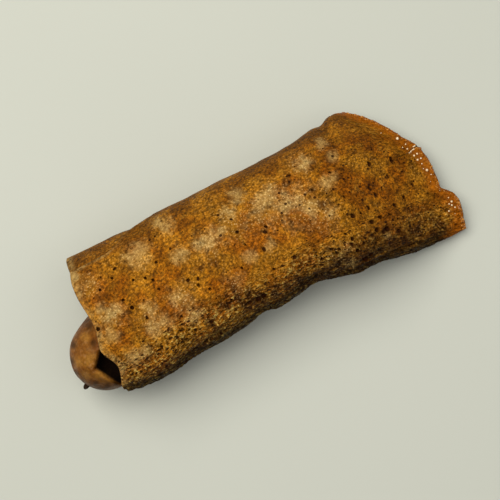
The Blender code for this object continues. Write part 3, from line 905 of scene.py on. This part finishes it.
class Look:
    """A material under construction, with short calls for the nodes that it needs."""

    def __init__(self, name):
        self.material = bpy.data.materials.new(name)
        self.material.use_nodes = True
        self.tree = self.material.node_tree
        self.shader = self.tree.nodes["Principled BSDF"]

    def put(self, socket, value):
        if isinstance(value, bpy.types.NodeSocket):
            self.tree.links.new(value, socket)
        elif isinstance(value, tuple):
            socket.default_value = (*value, 1.0) if len(socket.default_value) == 4 else value
        else:
            socket.default_value = value

    def node(self, kind, inputs, **settings):
        """Adds a node and gives its outputs."""
        made = self.tree.nodes.new("ShaderNode" + kind)
        for name, value in settings.items():
            setattr(made, name, value)
        for key, value in inputs.items():
            self.put(made.inputs[key], value)
        return made.outputs

    def place(self):
        return self.node("TexCoord", {})["Object"]

    def measure(self, name, output="Fac"):
        return self.node("Attribute", {}, attribute_name=name)[output]

    def stretched(self, vector, scale):
        return self.node("VectorMath", {0: vector, 1: scale}, operation="MULTIPLY")["Vector"]

    def noise(self, vector, size, detail=3.0, roughness=0.55, distortion=0.0):
        inputs = {"Vector": vector, "Scale": 1.0 / size, "Detail": detail}
        return self.node("TexNoise", {**inputs, "Roughness": roughness, "Distortion": distortion})["Fac"]

    def cells(self, vector, size):
        """The outputs of a node that cuts the plane into random cells."""
        return self.node("TexVoronoi", {"Vector": vector, "Scale": 1.0 / size}, voronoi_dimensions="2D")

    def warped(self, vector, reach, size):
        """The vector, moved about by a noise of the given size."""
        drift = self.node("TexNoise", {"Vector": vector, "Scale": 1.0 / size})["Color"]
        inputs = {0: drift, 1: (reach, reach, 0.0), 2: vector}
        return self.node("VectorMath", inputs, operation="MULTIPLY_ADD")["Vector"]

    def pores(self, vector, spacing, least, most, crowding):
        """1 in round pits scattered at random, with radii as shares of the spacing."""
        cells = self.cells(vector, spacing)
        draws = self.node("SeparateColor", {"Color": cells["Color"]})
        size = self.math("POWER", draws["Red"], 2.0)
        radius = self.plus(self.times(size, most - least), least)
        pit = self.level(self.math("DIVIDE", cells["Distance"], radius), 1.25, 0.55)
        return self.times(pit, self.math("LESS_THAN", draws["Green"], crowding))

    def level(self, value, low, high, least=0.0, most=1.0):
        """Runs smoothly from least where the value is low to most where it is high."""
        inputs = {"Value": value, "From Min": low, "From Max": high, "To Min": least, "To Max": most}
        return self.node("MapRange", inputs, interpolation_type="SMOOTHSTEP")["Result"]

    def less(self, value, left):
        """1 where the value is 0, down to what is left where it is 1."""
        return self.level(value, 0.0, 1.0, 1.0, left)

    def math(self, operation, first, *others):
        for other in others:
            first = self.node("Math", {0: first, 1: other}, operation=operation)["Value"]
        return first

    def times(self, *values):
        return self.math("MULTIPLY", *values)

    def plus(self, *values):
        return self.math("ADD", *values)

    def blend(self, share, first, second, kind="MIX"):
        inputs = {MIX_SHARE: share, MIX_FIRST: first, MIX_SECOND: second}
        return self.node("Mix", inputs, data_type="RGBA", blend_type=kind)[MIX_RESULT]

    def darkened(self, share, colour, shade):
        """The colour times a shade of grey."""
        grey = self.node("CombineColor", dict.fromkeys(("Red", "Green", "Blue"), shade))["Color"]
        return self.blend(share, colour, grey, "MULTIPLY")

    def cover(self, share, tone):
        self.colour = self.blend(share, self.colour, tone)

    def finished(self, roughness, specular=0.5):
        """Sets the shader and gives the material."""
        self.put(self.shader.inputs["Base Color"], self.colour)
        self.put(self.shader.inputs["Roughness"], roughness)
        self.put(self.shader.inputs["Specular IOR Level"], specular)
        return self.material

    def bump(self, heights, distance, strength=1.0):
        inputs = {"Height": heights, "Distance": distance, "Strength": strength}
        self.put(self.shader.inputs["Normal"], self.node("Bump", inputs)["Normal"])


# Colours of the batter
OCHRE = (0.350, 0.143, 0.0070)
RUSSET = (0.250, 0.074, 0.0020)
GOLD = (0.425, 0.205, 0.0220)
# Scorched brown, also used for painted shade at marked creases and along the near edge
SCORCHED_AND_SHADE = (0.095, 0.029, 0.0015)
FAR_BROWN = (0.145, 0.056, 0.0045)
# The near flank's tones: browned batter darkened further as painted shade
SHADED_FLANK_DARK = (0.005, 0.003, 0.001)
SHADED_FLANK_LIGHT = (0.072, 0.035, 0.006)
# Painted highlight for the net's ridges, and painted shade for its hollows
RIDGE_HIGHLIGHT = (0.500, 0.365, 0.095)
HOLLOW_SHADE = (0.045, 0.020, 0.002)
# Pale flour, also used for painted sheen and for a painted highlight along the flap's edge
FLOUR_AND_SHEEN = (0.505, 0.345, 0.122)
# Pale specks of painted glint
GLINT = (0.800, 0.590, 0.285)
AMBER = (0.345, 0.096, 0.002)
CRISP = (0.170, 0.045, 0.003)
HALO = (0.100, 0.038, 0.003)
PORE = (0.026, 0.005, 0.001)
CRUMB_DARK = (0.180, 0.080, 0.016)
CRUMB_LIGHT = (0.300, 0.155, 0.045)

# Colours of the casing, in the order in which they cover it, and of the lace, the fat and the floor
TAN = (0.200, 0.076, 0.012)
CASING_RUSSET = (0.150, 0.048, 0.004)
GRILLED = (0.080, 0.024, 0.003)
PALE = (0.265, 0.125, 0.036)
CASING_GOLD = (0.390, 0.185, 0.032)
CASING_BLOOM = (0.340, 0.180, 0.075)
# Painted shade on the casing
CASING_SHADE = (0.045, 0.016, 0.001)
KNOT_DARK = (0.018, 0.012, 0.008)
# Painted shade in the dent
DENT_SHADE = (0.0015, 0.001, 0.001)
LACE_TONES = ((0.200, 0.055, 0.003), (0.520, 0.215, 0.020))
# The fat's pale cream tones are painted glints
FAT_GLINT_TONES = ((0.780, 0.560, 0.300), (0.900, 0.780, 0.580))
FLOOR_TONES = ((0.520, 0.556, 0.533), (0.540, 0.576, 0.553))


def batter_look():
    """Browned buckwheat batter: ochre and russet, pale flour, a dark crinkled flank and an amber rim, with
    painted shade, highlights and glints.
    """
    look = Look("browned_batter")
    level = look.level
    times = look.times
    cover = look.cover
    blend = look.blend
    place = look.measure("sheet", "Vector")
    inner, from_rim, from_mouth, from_edge, large_pore, net = map(look.measure, PLACES)
    flour, scorch_and_shade, sheen_highlight, glaze = map(look.measure, MARKS)
    far, flank, near, flat, rim = map(look.measure, FIELDS)

    warped = look.warped(place, 0.0022, 0.0034)
    long_cells = look.stretched(warped, (1.0, 1.8, 1.0))
    clouds = look.noise(place, 0.0150, 3.0, 0.55)
    drifts = look.noise(place, 0.0090, 2.0)
    patches = look.noise(place, 0.0058, 4.0, 0.62)
    speckle = look.noise(place, 0.0016, 4.0, 0.70)
    grains = look.noise(place, 0.0007, 3.0, 0.65)
    granules = look.cells(warped, 0.0010)["Distance"]
    strands = look.noise(look.stretched(warped, (1.0, 6.0, 1.0)), 0.0080, 4.0, 0.65)

    look.colour = blend(level(clouds, 0.38, 0.62), OCHRE, RUSSET)
    cover(level(patches, 0.50, 0.70, 0.0, 0.75), SCORCHED_AND_SHADE)
    cover(level(patches, 0.47, 0.28, 0.0, 0.55), GOLD)
    cover(times(far, level(clouds, 0.36, 0.62, 0.42, 0.92)), FAR_BROWN)
    # The near flank: browned strands, darkened further as painted shade
    cover(times(flank, 0.94), blend(level(strands, 0.42, 0.62), SHADED_FLANK_DARK, SHADED_FLANK_LIGHT))

    opened = look.plus(near, times(flat, 0.30))
    # Painted shade in the crinkled net's hollows, and painted highlights on its ridges
    shaded_hollows = times(level(net, 0.48, 0.14), opened)
    cover(times(shaded_hollows, 0.80), HOLLOW_SHADE)
    ridge = times(level(net, 0.56, 0.88), near, level(speckle, 0.42, 0.56, 0.05, 0.90))
    cover(times(ridge, look.less(flank, 0.30)), RIDGE_HIGHLIGHT)

    bloom = times(flour, level(speckle, 0.32, 0.66, 0.50, 0.90))
    # Pale washes of painted highlight where the surface shines
    greasy = times(sheen_highlight, level(patches, 0.40, 0.60, 0.03, 0.36))
    cover(times(look.plus(bloom, greasy), 0.66), FLOUR_AND_SHEEN)
    # Scorched smudges and painted shade at the marks, darkest as painted shade on the low side
    cover(times(scorch_and_shade, level(patches, 0.30, 0.60, 0.45, 0.95)), SCORCHED_AND_SHADE)
    low = look.math("MAXIMUM", flank, times(near, 0.75))
    cover(times(scorch_and_shade, low, level(strands, 0.62, 0.40, 0.45, 1.0)), SHADED_FLANK_DARK)

    shade = times(
        level(speckle, 0.32, 0.68, 0.46, 1.50),
        level(grains, 0.30, 0.70, 0.60, 1.40),
        level(granules, 0.15, 0.75, 1.18, 0.72),
        level(drifts, 0.35, 0.65, 0.78, 1.14),
    )
    soft = look.math("MAXIMUM", flour, times(sheen_highlight, 0.6))
    look.colour = look.darkened(look.less(soft, 0.5), look.colour, shade)

    # Painted glints: pale specks that stand in for highlights on tiny greasy bubbles
    glint_amount = look.plus(
        times(flour, 0.30),
        times(sheen_highlight, 0.55),
        level(clouds, 0.52, 0.34, 0.0, 0.20),
        times(near, 0.20),
        times(rim, 0.15),
    )
    glints = times(level(granules, 0.36, 0.14), level(grains, 0.46, 0.62), glint_amount)
    cover(times(glints, look.less(flank, 0.3)), GLINT)

    cover(times(rim, 0.80), look.darkened(1.0, AMBER, level(speckle, 0.30, 0.70, 0.62, 1.40)))
    cover(times(glaze, level(speckle, 0.35, 0.60, 0.25, 0.80)), CRISP)
    cover(level(from_rim, 0.0010, 0.0001, 0.0, 0.55), CRISP)
    # A pale lip along the mouth's edge, and a painted highlight along the outer flap's edge near the mouth
    flap_highlight = times(level(from_edge, 0.0016, 0.0003), level(from_mouth, 0.030, 0.008))
    lip_and_flap_highlight = times(
        look.math("MAXIMUM", level(from_mouth, 0.0032, 0.0006), flap_highlight),
        level(patches, 0.36, 0.58, 0.15, 0.75),
        level(speckle, 0.36, 0.60, 0.10, 0.75),
        look.less(flank, 0.2),
    )
    cover(lip_and_flap_highlight, FLOUR_AND_SHEEN)

    crowding = look.plus(times(flat, 0.34), times(near, 0.20), 0.05)
    pore = look.math(
        "MAXIMUM",
        look.pores(place, 0.0026, 0.09, 0.21, crowding),
        times(look.pores(warped, 0.0013, 0.12, 0.24, crowding), 0.6),
        look.pores(long_cells, 0.0028, 0.12, 0.30, times(near, 0.62)),
        level(large_pore, 0.08, 0.55),
    )
    pore = times(pore, look.less(rim, 0.35))
    cover(times(level(large_pore, 0.0, 0.16), 0.55, look.less(rim, 0.0)), HALO)
    cover(times(pore, 0.92), PORE)
    cover(level(inner, 0.15, 0.60), blend(level(speckle, 0.40, 0.62), CRUMB_DARK, CRUMB_LIGHT))

    relief = look.plus(
        times(speckle, 0.7),
        times(grains, 0.40),
        times(granules, -0.30),
        times(shaded_hollows, -0.7),
        times(strands, flank, 1.6),
        times(pore, -0.8),
    )
    look.bump(relief, 0.0008)
    gloss = look.plus(level(speckle, 0.35, 0.65, 0.42, 0.62), times(rim, -0.24))
    return look.finished(gloss, 0.05)


def casing_look():
    """Grilled sausage casing: tan and russet, smooth and slightly greasy, with painted shade on one side, at
    dark places and in the dent, and a dark knot.
    """
    look = Look("grilled_casing")
    level = look.level
    times = look.times
    cover = look.cover
    blend = look.blend
    place = look.place()
    from_knot, sunk, golden, painted_shade = map(look.measure, ("from_knot", "sunk", "golden", "painted_shade"))
    clouds = look.noise(place, 0.0100, 3.0, 0.55, 0.5)
    patches = look.noise(place, 0.0036, 4.0, 0.60, 0.3)
    freckles = look.noise(place, 0.0011, 3.0, 0.60)
    blooms = look.noise(place, 0.0023, 3.0, 0.60)
    look.colour = blend(level(clouds, 0.38, 0.62), TAN, CASING_RUSSET)
    cover(level(patches, 0.50, 0.74, 0.0, 0.65), GRILLED)
    cover(level(patches, 0.46, 0.28, 0.0, 0.50), PALE)
    cover(times(golden, 0.75), CASING_GOLD)
    cover(level(blooms, 0.52, 0.72, 0.0, 0.40), CASING_BLOOM)
    # Painted shade on the side and at the dark places
    cover(times(painted_shade, 0.95), CASING_SHADE)
    look.colour = look.darkened(1.0, look.colour, level(freckles, 0.30, 0.70, 0.78, 1.20))
    cover(level(from_knot, 0.0042, 0.0018, 0.0, 0.92), KNOT_DARK)
    # Painted shade: the dent near black
    cover(level(sunk, 0.10, 0.55, 0.0, 0.97), DENT_SHADE)
    look.bump(look.plus(freckles, patches), 0.00022, 0.8)
    gloss = look.math("MAXIMUM", level(patches, 0.35, 0.65, 0.32, 0.46), level(sunk, 0.05, 0.30))
    return look.finished(gloss, 0.07)


def mottled_look(name, mottle, spread, tones, roughness, specular=0.5):
    """A material whose colour wanders between two tones by a noise's size, detail and roughness."""
    look = Look(name)
    share = look.level(look.noise(look.place(), *mottle), 0.5 - spread, 0.5 + spread)
    look.colour = look.blend(share, *tones)
    return look.finished(roughness, specular)


def make_floor():
    corners = [(x * FLOOR_HALF, y * FLOOR_HALF, 0.0) for x, y in ((-1, -1), (1, -1), (1, 1), (-1, 1))]
    look = mottled_look("floor", (0.3, 2.0), 0.20, FLOOR_TONES, 0.7)
    floor = mesh_object("floor", corners, [(0, 1, 2, 3)], look, (0.0, 0.0, -FLOOR_DROP))


def add_light(name, place, size, power, colour):
    """A square soft light that faces the middle of the roll."""
    data = bpy.data.lights.new(name, "AREA")
    data.size = size
    data.energy = power
    data.color = colour
    add_object(name, data, place, (-Vector(place)).to_track_quat("-Z", "Y").to_euler())


def make_lights():
    add_light("key", (-0.22, 0.46, 1.00), 0.85, 13.0, (1.0, 0.94, 0.81))
    add_light("fill", (0.50, -0.10, 1.00), 1.00, 2.5, (1.0, 0.96, 0.86))
    world = bpy.data.worlds.new("soft room")
    world.use_nodes = True
    scene.world = world
    background = world.node_tree.nodes["Background"].inputs
    background["Color"].default_value = (1.0, 0.96, 0.88, 1.0)
    background["Strength"].default_value = 0.25


def make_camera():
    data = bpy.data.cameras.new("photo view")
    data.sensor_width = SENSOR_WIDTH
    data.lens = LENS
    place = (CAMERA_X, CAMERA_Y, CAMERA_HEIGHT)
    scene.camera = add_object("photo view", data, place, (0.0, 0.0, -math.radians(CAMERA_TURN)))


crust, crust_face, crust_normals, crust_angles = make_galette()
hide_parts("galette")
droplets = make_droplets(crust_face, crust_normals)
lace = make_lace(crust_face, crust_normals, crust_angles)
casing = make_sausage()
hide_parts("sausage")

make_floor()
make_lights()
make_camera()
scene.view_settings.view_transform = "Standard"
